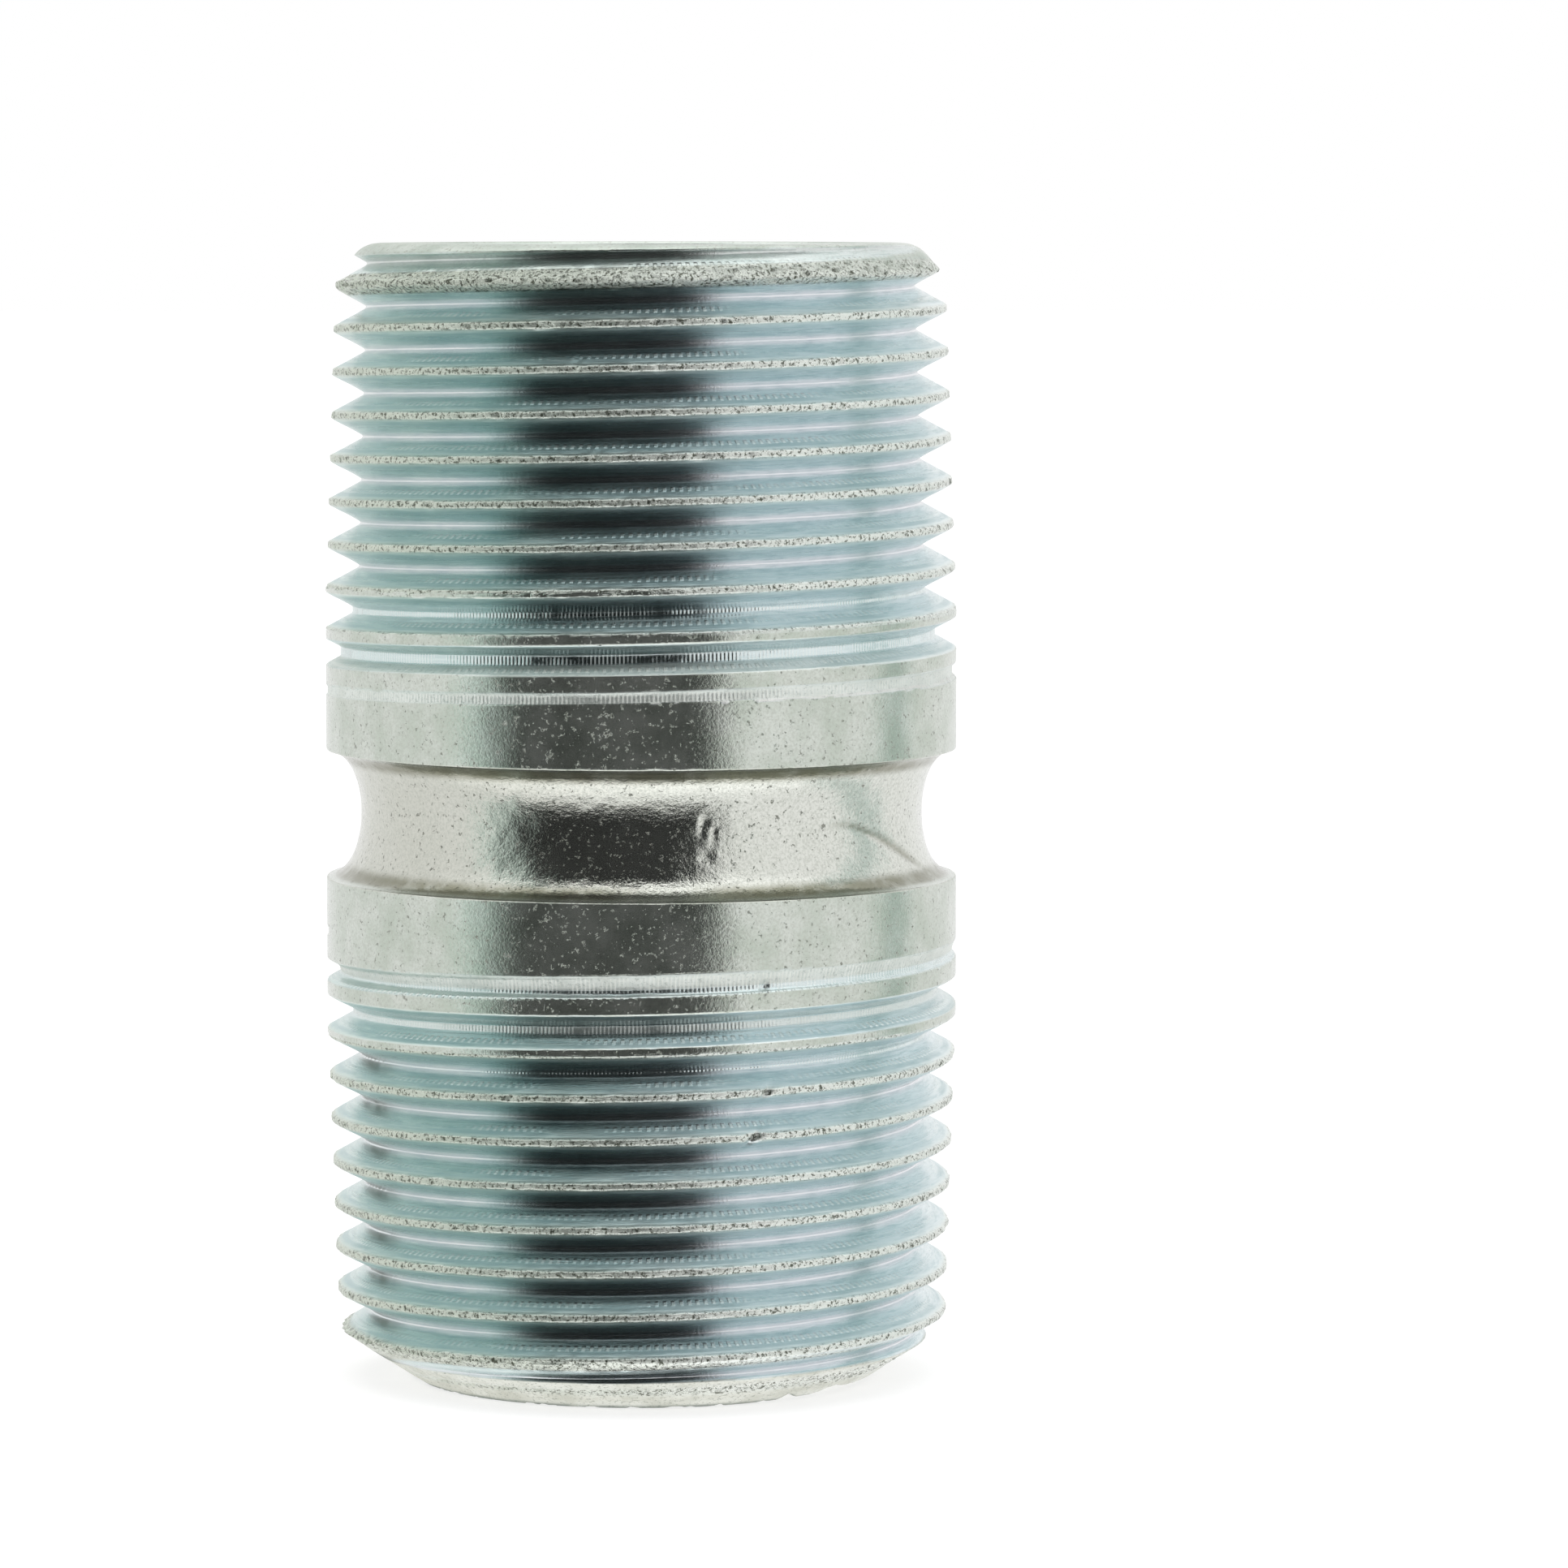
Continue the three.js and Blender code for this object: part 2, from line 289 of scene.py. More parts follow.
class ThreadedEnd:
    """One threaded end. inward is 1 where the thread starts at the lower face, -1 at the upper."""

    def __init__(self, face, inward, bevel, crest_start, near, far, last_slope, dull_from, seed):
        self.face, self.inward, self.bevel, self.seed = face, inward, bevel, seed
        self.near, self.far = near, far
        self.last_slope, self.dull_from = last_slope, dull_from
        self.crest_height = face + inward * crest_start
        self.outside = face + inward * END_RINGS[-1]
        self.inside = face + inward * (RUN_OUT[-1] + PITCH / 2)

    def crest_line(self, angle):
        return self.crest_height + PITCH * (angle / TURN - 0.5)

    def crest_form(self, along, across, from_end):
        """Radius of the crest, torn and tilted by the die, before it meets the flanks."""
        seed = self.seed
        (fine, fine_deep), (long, long_deep), (nick_spacing, nick_deep) = CREST_TEARS
        torn = ripple(along, fine, seed) ** 2 * fine_deep
        torn = torn + ripple(along, long, seed + 1) * long_deep
        nick = fade(0.80, 1.0, ripple(along, nick_spacing, seed + 2)) * nick_deep
        tilt = (ripple(along, 0.8, seed + 4) - 0.5) * CREST_TILT
        return CREST_RADIUS - (torn + nick) * fade(*TEARS_END[::-1], from_end) - tilt * across

    def thread_form(self, along, across, from_end):
        """Radius of the full thread, with rounded roots and crests whose edges wander."""
        half = np.abs(across)
        wander = (ripple(along, 0.45, self.seed + 3) - 0.5) * CREST_WANDER
        shifted = np.abs(across + wander * fade(0.3, 0.1, half))
        half_flat = np.where(across < 0, CREST_FOOT, CREST_TOP) * fade(0.6, 0.3, half)
        half_flat = half_flat + CREST_TOP * fade(0.3, 0.6, half)
        flank = CREST_RADIUS - FLANK_SLOPE * (shifted - half_flat)
        root_start = PITCH / 2 - ROOT_ROUND
        bottom = CREST_RADIUS - FLANK_SLOPE * (root_start - CREST_TOP + ROOT_ROUND / 2)
        fillet = bottom + (PITCH / 2 - half) ** 2 * FLANK_SLOPE / (2 * ROOT_ROUND)
        edge = np.where(across < 0, LOWER_EDGE_ROUND, EDGE_ROUND)
        crest = smooth_min(self.crest_form(along, across, from_end), flank, edge)
        return np.where(half > root_start, fillet, crest) + from_end * RADIUS_TAPER

    def shape(self, angle, z):
        """Radius and masks at an angle and a height."""
        from_end = self.inward * (z - self.face)
        lift = z - self.crest_line(angle)
        turn, groove_turn = np.round(lift / PITCH), np.floor(lift / PITCH)
        across = lift - turn * PITCH
        half = np.abs(across)
        to_groove = PITCH * (groove_turn + 0.5) - lift
        groove_end = from_end + self.inward * to_groove
        around = angle / TURN
        along, groove_along = [(t + around) * TURN * BODY_RADIUS for t in (turn, groove_turn)]

        # The last grooves are cut by short teeth, so they are flat, and they close up one by one
        nearer = self.inward * to_groove
        near, far = [np.interp(groove_end, RUN_OUT, wall) for wall in (self.near, self.far)]
        jagged = (ripple(groove_along, 0.4, self.seed + 5) - 0.5) * fade(17, 18.5, groove_end)
        form = self.thread_form(along, across, from_end)
        form = form + np.where(nearer > 0, near, far) * (1 + WALL_JAGS * jagged)
        sloping = self.last_slope * np.minimum(nearer, SLOPE_END) * fade(16.5, 17.6, groove_end)
        sloping = sloping * fade(18.9, 18.2, groove_end)
        flat = BODY_RADIUS - np.interp(groove_end, RUN_OUT, RUN_OUT_DEPTH) - sloping
        cut = smooth_max(form, flat, FLAT_ROUND)

        # The pipe and its bevel, and the first crest, which the bevel has left ragged
        skin_radius = BODY_RADIUS - skin_relief(angle, z)
        bevel = self.bevel(from_end)
        blank = smooth_min(skin_radius, bevel, BLANK_ROUND)
        start, full, fading, end = FIRST_CREST
        edge_torn = fade(end, fading, from_end) * fade(0.5, 0.32, half)
        edge_torn = edge_torn * fade(start, full, from_end)
        ripped = blotch(angle, z, 290, 0.13, 15) ** 2 + 0.4 * blotch(angle, z, 130, 0.4, 16) ** 2
        radius = smooth_min(blank, cut, EDGE_ROUND) - knocks(angle, z)
        radius = radius - FIRST_CREST_TEARS * ripped * edge_torn

        on_skin = fade(-0.01, 0.025, cut - skin_radius) * fade(0.0, 0.1, bevel - skin_radius)
        on_skin = np.maximum(on_skin, fade(18.9, 19.2, groove_end))
        on_bevel = fade(-0.03, 0.03, cut - bevel) * fade(0.04, -0.02, bevel - skin_radius)
        cut_clear = (1 - on_skin) * (1 - on_bevel)
        on_flat = fade(-0.01, 0.02, flat - form) * cut_clear
        in_root = fade(0.20, 0.02, PITCH / 2 - half) * cut_clear * (1 - on_flat)
        on_crest = fade(0.20, 0.11, half) * cut_clear * (1 - on_flat)

        # Worn: the grooves' shallow ends, the bevels and the upper rim
        dulled = END_WEAR * fade(self.dull_from, self.dull_from + 0.7, groove_end) * cut_clear
        wall = fade(-0.01, 0.03, form - flat) * fade(16.2, 16.8, groove_end) * (nearer < 0)
        dulled = np.maximum(dulled, WALL_WEAR * wall * cut_clear)
        if self.inward > 0:
            dulled = np.maximum(dulled, FLAT_WEAR * on_flat * fade(15.4, 16, groove_end))
            level = fade(SLOPE_END, SLOPE_END + 0.08, nearer) * fade(17.2, 17.5, groove_end)
            dulled = dulled * (1 - 0.8 * level)
        worn = np.maximum(on_bevel * (1 - 0.8 * edge_torn), dulled)
        if self.inward < 0:
            worn = np.maximum(worn, RIM_WEAR * fade(1.25, 0.95, from_end))

        # Painted shade: under the lower crests on the left, and along the lower rim
        painted_shading = 0.0
        if self.inward > 0:
            right = right_of(angle, FRONT)
            painted_shading = fade(-56, -72, right) * fade(-125, -95, right) * fade(-0.45, -0.75, across)
            painted_shading = np.maximum(painted_shading * fade(16, 14.5, z), 0.8 * fade(0.2, 0.03, from_end))
        phase = TURN * lift / PITCH
        return radius, dict(
            skin=on_skin,
            crest=np.maximum(on_crest, 2 * edge_torn * (1 - on_skin)),
            root=in_root,
            chatter=on_flat,
            worn=worn,
            stain=painted_shading * (1 - on_skin),
            turn_cos=np.cos(phase),
            turn_sin=np.sin(phase),
        )

    def ring(self, surface, z):
        radius, masks = self.shape(surface.angles, z + 0 * surface.angles)
        return surface.ring(radius, z, **masks)

    def end_rings(self, surface):
        """Level rings from the end face to where the helical rows begin."""
        return [self.ring(surface, self.face + self.inward * d) for d in END_RINGS]

    def add(self, surface, low_ring, high_ring):
        """Helical rows between two level rings."""
        low, high = sorted((self.outside, self.inside))
        steps = ROW_OFFSETS * PITCH
        first = math.floor((low - self.crest_height) / PITCH) - 2
        last = math.ceil((high - self.crest_height) / PITCH) + 2
        centres = np.arange(first, last + 1)[:, None] * PITCH
        lift = (centres + steps[None, :]).ravel()[:, None]
        z = lift + self.crest_line(surface.angles)[None, :]
        angle = np.broadcast_to(surface.angles, z.shape)
        inside = (z > low + SHORTEST_EDGE) & (z < high - SHORTEST_EDGE)
        ids = np.where(z <= low + SHORTEST_EDGE, low_ring[None, :], high_ring[None, :])
        radius, masks = self.shape(angle[inside], z[inside])
        ids[inside] = surface.points(angle[inside], radius, z[inside], **masks)
        surface.helical(ids, len(steps))


lower_end = ThreadedEnd(
    face=0,
    inward=1,
    bevel=lower_cone,
    crest_start=LOWER_CREST_START,
    near=LOWER_NEAR,
    far=LOWER_FAR,
    last_slope=LAST_SLOPE,
    dull_from=16.2,
    seed=100,
)
upper_end = ThreadedEnd(
    face=LENGTH,
    inward=-1,
    bevel=upper_corner,
    crest_start=UPPER_CREST_START,
    near=UPPER_NEAR,
    far=UPPER_FAR,
    last_slope=0,
    dull_from=17.3,
    seed=200,
)


# ---------------------------------------------------------------- steel body


def bore_radius(z):
    s = np.clip((z - MIDDLE) / BEAD_HALF_WIDTH, -1, 1)
    return BORE_RADIUS - BEAD_HEIGHT * (1 + np.cos(math.pi * s)) / 2


def groove_radius(z):
    """Half an ellipse cut into the skin, with rounded lips."""
    s = np.clip(np.abs(z - MIDDLE) / GROOVE_HALF_WIDTH, 0, 1)
    return BODY_RADIUS - GROOVE_DEPTH * np.sqrt(1 - s * s)


def crease(angle, z):
    """1 along a curved mark that the rolling wheel left in the groove, right of the front."""
    right = right_of(angle, FRONT)
    line = MIDDLE + 0.1 - 2.0 * (np.clip(right - 45, 0, None) / 25) ** 1.3
    width = 0.10 + 0.12 * fade(45, 65, right)
    return np.exp(-(((z - line) / width) ** 2)) * fade(38, 48, right) * fade(76, 66, right)


def cracks(angle, z):
    """Short upright scratches in the groove, a little right of the front."""
    right = right_of(angle, FRONT)
    window = fade(10.5, 12, right) * fade(18, 15, right) * fade(1.3, 0.8, np.abs(z - MIDDLE + 0.2))
    return window * fade(0.45, 0.9, blotch(angle, z, 300, 0.5, 17))


def waist_ring(surface, z):
    """A ring of the plain middle, at a height on a land, on a lip or in the groove."""
    angles = surface.angles
    from_lip = GROOVE_HALF_WIDTH - abs(z - MIDDLE)
    inside = fade(0, 0.5, from_lip)
    at_lip = abs(from_lip) < 1e-6
    creased = crease(angles, z) * inside
    dents = sum(deep * blotch(angles, z, *cells) for *cells, deep in GROOVE_DENTS)
    radius = groove_radius(z) - skin_relief(angles, z) - dents * inside
    radius = radius - CREASE_DEPTH * creased - CRACK_DEPTH * cracks(angles, z)
    if at_lip:
        radius = radius - LIP_ROUND / 2 - LIP_CHIPS * fade(0.7, 1, ripple(angles, 0.03, 14))
    # Painted shade inside the groove next to its lips, weaker at the front of the lower lip, and
    # along the crease
    lip_shade = fade(0.75, 0.35, from_lip) * fade(0.02, 0.15, from_lip)
    if z < MIDDLE:
        lip_shade_gap = np.exp(-(((right_of(angles, FRONT) - 5) / 9) ** 2))
        lip_shade = lip_shade * (1 - 0.85 * lip_shade_gap)
    return surface.ring(
        radius,
        z,
        skin=1.0,
        waist=inside,
        stain=np.maximum(lip_shade, 0.8 * creased),
        worn=0.5 if at_lip else 0.0,
    )


def waist_rings(surface):
    half_turns = np.linspace(0, math.pi, 57)
    groove = MIDDLE - GROOVE_HALF_WIDTH * np.cos(half_turns)
    lower_land = np.linspace(lower_end.inside, groove[0], 8)[1:-1]
    upper_land = np.linspace(groove[-1], upper_end.inside, 8)[1:-1]
    lips = [groove[0] - LIP_ROUND, groove[-1] + LIP_ROUND]
    heights = np.sort(np.concatenate([lower_land, groove, upper_land, lips]))
    return [waist_ring(surface, z) for z in heights]


def chipped_rim(angle, z):
    """Lifts the lower rim where it is knocked, so that it stands clear of the floor there."""
    right = right_of(angle, FRONT)
    around = right / 180 * math.pi * LOWER_FACE_RADIUS
    slant = 0.20 * fade(15, 75, right) * fade(150, 110, right)
    ragged = fade(0.45, 1, ripple(around, 0.8, 31)) * 0.22 * fade(12, 30, right)
    ragged += fade(0.5, 1, ripple(around, 0.25, 32)) * 0.06
    nick = 0.25 * np.exp(-((right + 74) ** 2) / 3**2)
    return np.maximum(z, slant + ragged * fade(170, 90, right) + nick)


def make_body(material):
    surface = Turned()
    lower_face, *lower_rings = [lower_end.ring(surface, 0), *lower_end.end_rings(surface)]
    upper_face, *upper_rings = [upper_end.ring(surface, LENGTH), *upper_end.end_rings(surface)]
    lower_land = lower_end.ring(surface, lower_end.inside)
    upper_land = upper_end.ring(surface, upper_end.inside)
    surface.join(lower_face, *lower_rings)
    lower_end.add(surface, lower_rings[-1], lower_land)
    surface.join(lower_land, *waist_rings(surface), upper_land)
    upper_end.add(surface, upper_land, upper_rings[-1])
    surface.join(*upper_rings[::-1], upper_face)
    top = [
        surface.ring(r, LENGTH, worn=1.0)
        for r in np.linspace(UPPER_FACE_RADIUS - 0.1, BORE_RADIUS + BORE_EDGE, 7)
    ]
    at_bead = np.linspace(MIDDLE - BEAD_REACH, MIDDLE + BEAD_REACH, 17)
    depths = [BORE_EDGE, 1.0, *at_bead, LENGTH - 1.0, LENGTH - BORE_EDGE]
    bore = [surface.ring(bore_radius(LENGTH - d), LENGTH - d, skin=0.5) for d in depths]
    bottom = [surface.ring(BORE_RADIUS + BORE_EDGE, 0, worn=1.0)]
    surface.join(upper_face, *top, *bore, *bottom, lower_face)
    return surface.make("threaded_body", material, chipped_rim)


# ---------------------------------------------------------------- liner


def make_liner(material):
    surface = Turned(LINER_COLUMNS)
    low, high = LINER_RECESS, LENGTH - LINER_RECESS
    at_bead = np.linspace(MIDDLE - BEAD_REACH, MIDDLE + BEAD_REACH, 25)
    heights = [low + LINER_RIM, 4, 10, 16, *at_bead, 32, 38, 44, high - LINER_RIM]
    outside = [surface.ring(bore_radius(z) - LINER_GAP, z) for z in heights]
    inside = [surface.ring(bore_radius(z) - LINER_GAP - LINER_WALL, z) for z in heights[::-1]]

    def rim(z_end, up):
        """Rings over a softly squared rim, from its outside to its inside."""
        middle = bore_radius(z_end) - LINER_GAP - LINER_WALL / 2
        rings = []
        for turn in np.linspace(0, math.pi, 11)[1:-1]:
            outward = math.copysign(abs(math.cos(turn)) ** LINER_SQUARENESS, math.cos(turn))
            rise = LINER_RIM * (math.sin(turn) ** LINER_SQUARENESS - 1)
            rings.append(surface.ring(middle + outward * LINER_WALL / 2, z_end + up * rise))
        return rings

    surface.join(*outside, *rim(high, 1), *inside, *rim(low, -1)[::-1], outside[0])
    return surface.make("bore_sleeve", material)


# ---------------------------------------------------------------- materials


class Nodes:
    """A material's node tree, with short calls for the nodes that this script uses."""

    def __init__(self, name):
        self.material = bpy.data.materials.new(name)
        self.material.use_nodes = True
        self.tree = self.material.node_tree
        self.shader = self.tree.nodes["Principled BSDF"]

    def add(self, kind, *inputs, out=0, **settings):
        node = self.tree.nodes.new("ShaderNode" + kind)
        for key, value in settings.items():
            setattr(node, key, value)
        for i, value in enumerate(inputs):
            self.feed(node.inputs[i], value)
        return node.outputs[out]

    def feed(self, socket, value):
        if value is None:
            return
        if isinstance(value, bpy.types.NodeSocket):
            self.tree.links.new(value, socket)
        else:
            socket.default_value = value

    def math(self, operation, a, b=None):
        return self.add("Math", a, b, operation=operation)

    def times(self, a, b):
        return self.math("MULTIPLY", a, b)

    def plus(self, *values):
        total = values[0]
        for value in values[1:]:
            total = self.math("ADD", total, value)
        return total

    def invert(self, value):
        return self.math("SUBTRACT", 1.0, value)

    def mask(self, name):
        node = self.tree.nodes.new("ShaderNodeAttribute")
        node.attribute_name = name
        return node.outputs["Fac"]

    def span(self, value, low, high, to_low=0.0, to_high=1.0):
        """Goes smoothly from to_low to to_high as the value goes from low to high."""
        ends = (low, high, to_low, to_high)
        return self.add("MapRange", value, *ends, interpolation_type="SMOOTHSTEP")

    def scaled(self, vector, x, y, z):
        no_move = no_turn = None
        return self.add("Mapping", vector, no_move, no_turn, (x, y, z))

    def noise(self, vector, scale, detail=3.0, rough=0.55, w=None):
        node = self.tree.nodes.new("ShaderNodeTexNoise")
        if w is not None:
            node.noise_dimensions = "4D"
            self.feed(node.inputs["W"], w)
        self.feed(node.inputs["Vector"], vector)
        node.inputs["Scale"].default_value = scale
        node.inputs["Detail"].default_value = detail
        node.inputs["Roughness"].default_value = rough
        return node.outputs["Fac"]

    def colour(self, factor, a, b):
        node = self.tree.nodes.new("ShaderNodeMix")
        node.data_type = "RGBA"
        for name, value in (("Factor", factor), ("A", a), ("B", b)):
            sockets = [s for s in node.inputs if s.name == name and s.enabled]
            self.feed(sockets[0], (*value, 1) if isinstance(value, tuple) else value)
        return next(s for s in node.outputs if s.enabled)

    def number(self, factor, a, b):
        node = self.tree.nodes.new("ShaderNodeMix")
        for i, value in ((0, factor), (2, a), (3, b)):
            self.feed(node.inputs[i], value)
        return node.outputs[0]

    def bump(self, height, distance):
        node = self.tree.nodes.new("ShaderNodeBump")
        node.inputs["Strength"].default_value = 1.0
        node.inputs["Distance"].default_value = distance
        self.feed(node.inputs["Height"], height)
        self.feed(self.shader.inputs["Normal"], node.outputs["Normal"])


TOOTH_MARKS = 470  # chatter marks in one turn
DASHES = 230  # ticks in one turn of the fine line on the upper flank
DASHED_LINE, DARK_LINE = 1.65, 1.15  # their phases: a crest is at 0, and the root above it at pi

# Pairs of colours are for the left side, duller as painted shade, and the brighter right side of
# the part, or for dark and light mottling.
BLUE = (0.47, 0.61, 0.60), (0.66, 0.76, 0.78)
LIGHT_BLUE = (0.67, 0.78, 0.75), (0.81, 0.88, 0.895)
SCORED_BLUE = (0.44, 0.58, 0.60)
ROOT_PINK = (0.90, 0.78, 0.83)
# Painted light: flanks lighter next to the crests, where they are less shaded
LIT_TIP = (0.68, 0.75, 0.69), (0.83, 0.88, 0.86)
FLAT_BLUE = (0.68, 0.76, 0.76)
# Painted shade: a thin dark line just below the dashed line
SHADE_LINE_BLUE = (0.40, 0.53, 0.54)
# Painted glints on the chatter marks and the dashed line
TICK_GLINT = (0.84, 0.90, 0.88)
CREAM = (0.63, 0.68, 0.59), (0.83, 0.86, 0.81)
CREST_PIT = (0.10, 0.11, 0.08)
SKIN = (0.505, 0.56, 0.49), (0.635, 0.67, 0.62)
HOLLOW = (0.61, 0.61, 0.55), (0.75, 0.76, 0.71)
SKIN_GRAIN = (0.43, 0.45, 0.40)
SKIN_PIT = (0.13, 0.13, 0.10)
LOWER_BEVEL_PALE = (0.60, 0.60, 0.52), (0.74, 0.74, 0.67)
UPPER_BEVEL_GREEN = (0.42, 0.48, 0.41), (0.60, 0.64, 0.58)
BEVEL_PIT = (0.33, 0.34, 0.28)
# Painted shade, on cut surfaces and on the skin
CUT_SHADE, SKIN_SHADE = (0.07, 0.10, 0.08), (0.25, 0.25, 0.19)


def zinc_material():
    n = Nodes("zinc_plated_steel")
    place = n.add("TexCoord", out=3)
    masks = [n.mask(name) for name in Turned.masks]
    skin, crest, root, chatter, worn, waist, stain, turn_cos, turn_sin = masks
    mm = n.scaled(place, 1000, 1000, 1000)
    split = n.tree.nodes.new("ShaderNodeSeparateXYZ")
    n.feed(split.inputs[0], mm)
    x, y, z = split.outputs
    on_cut = n.invert(skin)
    upper = n.span(z, LENGTH - 4.0, LENGTH - 2.0)

    broad = n.noise(mm, 0.22, 2)
    mottle = n.noise(mm, 0.55, 4, 0.6)
    uneven = n.noise(mm, 1.2, 3, 0.6)
    grain = n.noise(mm, 8.0, 3, 0.7)
    speck = n.noise(mm, 4.5, 3, 0.75)
    ragged = n.noise(mm, 6.5, 4, 0.75)
    waist_marks = n.noise(n.scaled(place, 1500, 1500, 3000), 1.0, 4, 0.7)

    # The phase goes from -pi to pi across one pitch of the thread, and is 0 on the crest
    phase = n.math("ARCTAN2", turn_sin, turn_cos)
    from_crest = n.math("ABSOLUTE", phase)

    def streaks(ahead, up, across, detail, rough):
        """Noise that changes slowly along the helix and quickly across it."""
        along = n.plus(n.times(x, ahead), n.times(z, up))
        along = n.add("CombineXYZ", along, n.times(y, ahead), n.times(turn_cos, across))
        return n.noise(along, 1.0, detail, rough, w=n.times(turn_sin, across))

    def line_at(line_phase):
        """1 on a thin line along the helix."""
        return n.span(n.math("ABSOLUTE", n.math("SUBTRACT", phase, line_phase)), 0.36, 0.12)

    streak = streaks(0.3, 0.22, 2.4, 4, 0.65)
    fine_streak = streaks(1.1, 0.7, 5.0, 3, 0.6)
    azimuth = n.math("ARCTAN2", y, x)
    tooth = n.math("SINE", n.times(azimuth, float(TOOTH_MARKS)))
    ticks = n.times(n.times(n.span(tooth, 0.0, 0.8), n.span(uneven, 0.32, 0.52)), chatter)
    dashes = n.span(n.math("SINE", n.times(azimuth, float(DASHES))), -0.2, 0.6)
    dashes = n.times(n.times(dashes, line_at(DASHED_LINE)), on_cut)
    dashes = n.times(dashes, n.span(broad, 0.35, 0.6))

    # Cut flanks: blue passivate, pink in the roots, and painted shade, duller and greener, on the
    # left side
    side = n.span(n.plus(x, n.times(n.math("SUBTRACT", broad, 0.5), 8.0)), -11.0, 6.0)
    cut = n.colour(n.span(streak, 0.35, 0.68), n.colour(side, *BLUE), n.colour(side, *LIGHT_BLUE))
    cut = n.colour(n.times(n.span(fine_streak, 0.45, 0.72), 0.65), cut, SCORED_BLUE)
    cut = n.colour(n.times(root, 0.35), cut, ROOT_PINK)
    # Painted light: the flanks are lighter next to the crests
    cut = n.colour(n.times(n.span(from_crest, 1.1, 0.55), 0.8), cut, n.colour(side, *LIT_TIP))
    cut = n.colour(n.times(chatter, 0.5), cut, FLAT_BLUE)
    # Painted shade: a thin dark line just below the dashed line
    painted_shade_line = n.times(line_at(DARK_LINE), n.span(broad, 0.4, 0.6, 0.0, 0.45))
    cut = n.colour(painted_shade_line, cut, SHADE_LINE_BLUE)
    # Painted glints: the chatter marks and the dashed line are made bright
    cut = n.colour(n.times(n.math("MAXIMUM", ticks, dashes), 0.7), cut, TICK_GLINT)
    # Painted shade: the crests are duller on the left side too
    cream = n.colour(n.span(ragged, 0.49, 0.41), n.colour(side, *CREAM), CREST_PIT)
    cut = n.colour(n.times(crest, 0.95), cut, cream)

    # The pipe's own skin, matte and faintly pitted, and the bevelled ends
    plain = n.colour(n.span(mottle, 0.3, 0.7), *SKIN)
    # Painted shade: the groove is darker on the left side
    plain = n.colour(n.times(waist, 0.85), plain, n.colour(side, *HOLLOW))
    plain = n.colour(n.times(n.span(grain, 0.40, 0.66), 0.5), plain, SKIN_GRAIN)
    pits = n.span(speck, 0.62, 0.68)
    plain = n.colour(n.times(pits, 0.7), plain, SKIN_PIT)
    base = n.colour(skin, cut, plain)
    pale = n.colour(n.span(mottle, 0.36, 0.6), *LOWER_BEVEL_PALE)
    # Painted shade: the upper bevel is darker on the left side
    bevel = n.colour(upper, pale, n.colour(n.span(mottle, 0.3, 0.7), *UPPER_BEVEL_GREEN))
    bevel = n.colour(n.span(ragged, 0.46, 0.36), bevel, BEVEL_PIT)
    base = n.colour(n.times(worn, 0.9), base, bevel)
    # Painted shade: under the lower-left crests, along the lower rim, at the groove's lips and
    # crease
    shade_amount = n.times(stain, n.span(n.noise(mm, 0.9, 3, 0.6), 0.2, 0.6, 0.5, 1.0))
    base = n.colour(shade_amount, base, n.colour(skin, CUT_SHADE, SKIN_SHADE))
    n.feed(n.shader.inputs["Base Color"], base)

    # Bare metal shines, and the film and grime over it scatter a little
    film = n.times(skin, n.span(n.plus(grain, mottle), 0.7, 1.3, 0.07, 0.13))
    film = n.times(film, n.number(waist, 1.0, 0.35))
    glints = n.plus(n.times(ticks, 0.35), n.times(dashes, 0.15))
    dull = n.plus(film, n.times(worn, n.number(upper, 0.35, 0.05)), glints)
    n.feed(n.shader.inputs["Metallic"], n.math("SUBTRACT", 1.0, dull))
    rough = n.number(skin, n.number(streak, 0.13, 0.30), n.number(mottle, 0.06, 0.17))
    rough = n.plus(rough, n.times(worn, n.number(upper, 0.25, 0.05)), n.times(crest, -0.08))
    tips = n.times(n.span(from_crest, 2.3, 0.7), on_cut)
    rough = n.plus(rough, n.times(tips, 0.15), n.times(waist, -0.03))
    n.feed(n.shader.inputs["Roughness"], rough)

    # Heights in hundredths of a millimetre
    tooth_height = n.span(uneven, 0.35, 0.65, 0.08, 0.6)
    torn = n.plus(crest, n.times(worn, n.number(upper, 0.8, 0.3)))
    heights = [
        n.times(n.times(streak, on_cut), 1.3),
        n.times(n.times(fine_streak, on_cut), 0.5),
        n.times(n.times(tooth, chatter), tooth_height),
        n.times(dashes, 3.0),
        n.times(n.times(grain, on_cut), 0.7),
        n.times(n.times(grain, skin), 1.1),
        n.times(n.times(pits, skin), -2.5),
        n.times(n.times(ragged, torn), 5.0),
        n.times(n.times(waist_marks, waist), 2.5),
    ]
    n.bump(n.plus(*heights), 0.01 * MM)
    return n.material


LINER_COLOURS = (0.80, 0.78, 0.70), (0.86, 0.84, 0.77)


def liner_material():
    n = Nodes("liner_plastic")
    place = n.add("TexCoord", out=3)
    flow = n.noise(n.scaled(place, 300, 300, 60), 1.0, 4, 0.55)
    fine = n.noise(n.scaled(place, 1000, 1000, 1000), 6.0, 3, 0.6)
    base = n.colour(n.span(flow, 0.3, 0.7), *LINER_COLOURS)
    n.feed(n.shader.inputs["Base Color"], base)
    n.feed(n.shader.inputs["Roughness"], n.number(fine, 0.34, 0.5))
    n.shader.inputs["Subsurface Weight"].default_value = 0.15
    n.shader.inputs["Subsurface Radius"].default_value = (0.002, 0.002, 0.0015)
    n.bump(fine, 0.006 * MM)
    return n.material


body = make_body(zinc_material())
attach(body, "root")
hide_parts("nipple_body")

sleeve = make_liner(liner_material())
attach(sleeve, "root")
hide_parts("bore_liner")


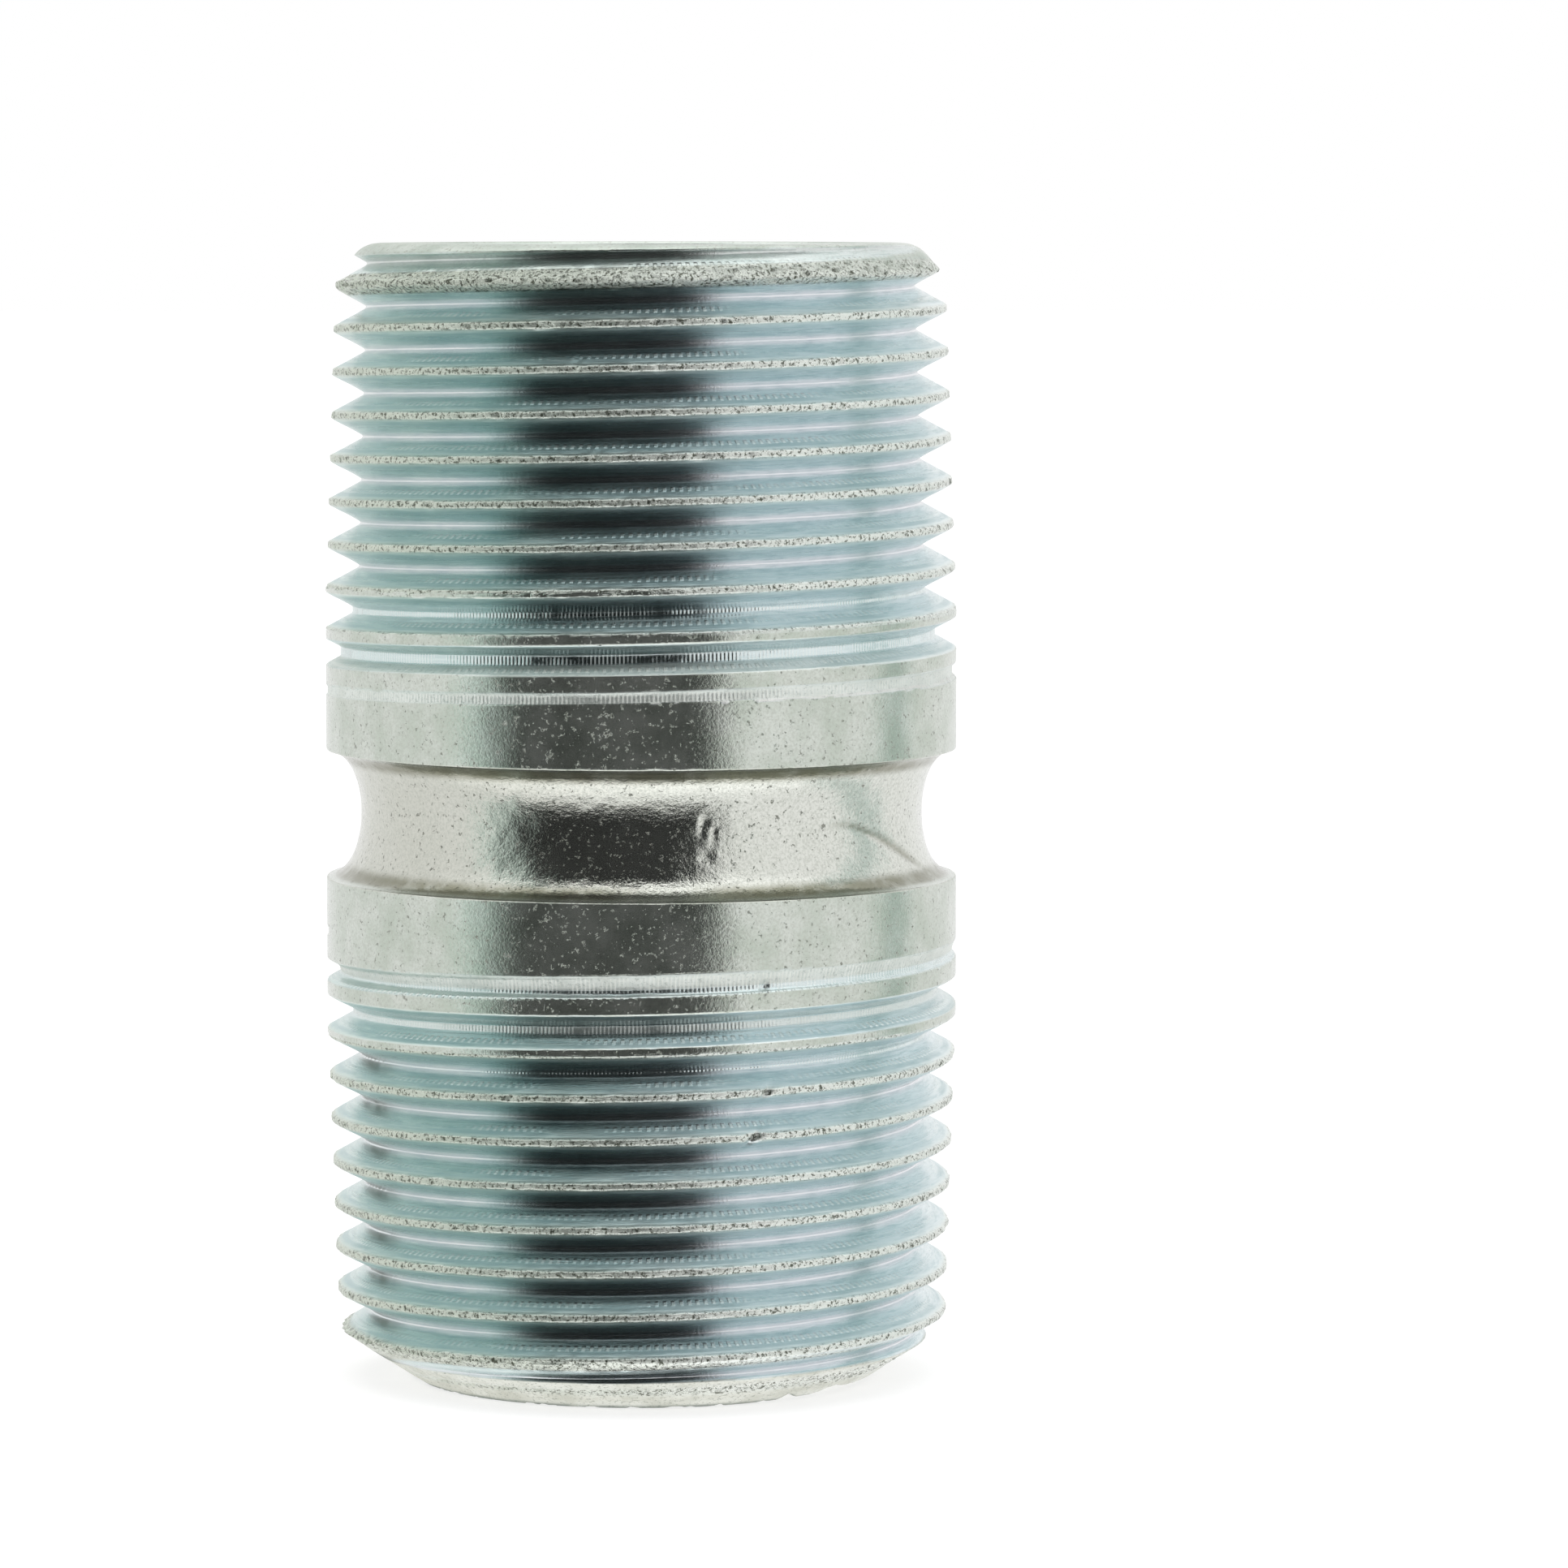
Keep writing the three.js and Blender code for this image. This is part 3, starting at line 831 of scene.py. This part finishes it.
# ---------------------------------------------------------------- studio

FLOOR_HALF_SIDE = 3.0
FLOOR_GREY = 0.4
FLOOR_GLOW = 0.68  # takes the floor up to white, with soft contact shadows

# Cards around the studio, which only the metal mirrors. Azimuths are from the front, positive to
# the right, and then come the soft edges, the elevations and the light that the card gives.
STUDIO_RADIUS = 0.6
CARD_STEPS = 64
CARD_TINT = (0.85, 1.0, 0.96, 1)
CARDS = [
    ("dark_card", (-68.0, 29.5), (22.0, 0.5), (-32.0, 57.0), 0.012),
    ("side_card", (97.0, 112.0), (5.0, 5.0), (-50.0, 50.0), 0.56),
]

# More light from well above and from well below: heights on the sky where it starts and is full,
# and how much more than at the horizon
SKY_GAINS = ((0.55, 0.9, 0.45), (-0.6, -0.9, 0.4))

CAMERA_DISTANCE = 0.3115
CAMERA_ABOVE_TOP = 1.8
CAMERA_DOWN, CAMERA_PAN = 4.53, -1.11  # degrees
FOCAL_LENGTH, SENSOR_WIDTH = 169.25, 36


def make_floor():
    n = Nodes("pale_floor")
    n.shader.inputs["Base Color"].default_value = (FLOOR_GREY, FLOOR_GREY, FLOOR_GREY, 1)
    n.shader.inputs["Roughness"].default_value = 0.9
    n.shader.inputs["Specular IOR Level"].default_value = 0.0
    n.shader.inputs["Emission Color"].default_value = (1, 1, 1, 1)
    n.shader.inputs["Emission Strength"].default_value = FLOOR_GLOW
    side = FLOOR_HALF_SIDE
    mesh = bpy.data.meshes.new("floor")
    corners = [(-side, -side, 0), (side, -side, 0), (side, side, 0), (-side, side, 0)]
    mesh.from_pydata(corners, [], [(0, 1, 2, 3)])
    mesh.materials.append(n.material)
    floor = bpy.data.objects.new("floor", mesh)
    bpy.context.collection.objects.link(floor)
    floor.visible_glossy = False


def make_card(name, azimuths, soft, elevations, light):
    """A curved card, whose glow goes from white at its sides to its own light."""
    turned = np.linspace(azimuths[0], azimuths[1], CARD_STEPS)
    heights = [MIDDLE * MM + STUDIO_RADIUS * math.tan(math.radians(e)) for e in elevations]
    places = [
        (STUDIO_RADIUS * math.sin(a), -STUDIO_RADIUS * math.cos(a), z)
        for a in np.radians(turned)
        for z in heights
    ]
    faces = [(2 * i, 2 * i + 2, 2 * i + 3, 2 * i + 1) for i in range(CARD_STEPS - 1)]
    mesh = bpy.data.meshes.new(name)
    mesh.from_pydata(places, [], faces)
    layer = mesh.attributes.new("azimuth", "FLOAT", "POINT")
    layer.data.foreach_set("value", np.repeat(turned, 2).astype(np.float32))
    n = Nodes(name)
    n.tree.nodes.remove(n.shader)
    left = n.span(n.mask("azimuth"), azimuths[0], azimuths[0] + soft[0], 1.0, light)
    right = n.span(n.mask("azimuth"), azimuths[1] - soft[1], azimuths[1], light, 1.0)
    glow = n.add("Emission", CARD_TINT, n.math("MAXIMUM", left, right))
    n.tree.links.new(glow, n.tree.nodes["Material Output"].inputs["Surface"])
    mesh.materials.append(n.material)
    card = bpy.data.objects.new(name, mesh)
    bpy.context.collection.objects.link(card)
    card.visible_camera = card.visible_diffuse = card.visible_shadow = False


def make_world():
    """White at the horizon, and brighter from well above and from well below."""
    world = bpy.data.worlds.new("studio")
    bpy.context.scene.world = world
    world.use_nodes = True
    nodes, links = world.node_tree.nodes, world.node_tree.links
    background = nodes["Background"]
    background.inputs["Color"].default_value = (1, 1, 1, 1)
    place = nodes.new("ShaderNodeTexCoord")
    split = nodes.new("ShaderNodeSeparateXYZ")
    links.new(place.outputs["Generated"], split.inputs[0])
    strength = 1.0
    for low, high, gain in SKY_GAINS:
        share = nodes.new("ShaderNodeMapRange")
        share.interpolation_type = "SMOOTHSTEP"
        for socket, value in zip(share.inputs, (None, low, high, 0.0, gain)):
            if value is not None:
                socket.default_value = value
        links.new(split.outputs["Z"], share.inputs["Value"])
        total = nodes.new("ShaderNodeMath")
        if isinstance(strength, float):
            total.inputs[0].default_value = strength
        else:
            links.new(strength, total.inputs[0])
        links.new(share.outputs[0], total.inputs[1])
        strength = total.outputs[0]
    links.new(strength, background.inputs["Strength"])


def make_camera():
    lens = bpy.data.cameras.new("camera")
    lens.sensor_width = SENSOR_WIDTH
    lens.lens = FOCAL_LENGTH
    lens.clip_start, lens.clip_end = 0.01, 20
    camera = bpy.data.objects.new("camera", lens)
    camera.location = (0, -CAMERA_DISTANCE, (LENGTH + CAMERA_ABOVE_TOP) * MM)
    camera.rotation_euler = (math.radians(90 - CAMERA_DOWN), 0, math.radians(CAMERA_PAN))
    bpy.context.collection.objects.link(camera)
    bpy.context.scene.camera = camera


make_floor()
for card in CARDS:
    make_card(*card)
make_world()
make_camera()
bpy.context.scene.view_settings.view_transform = "Standard"
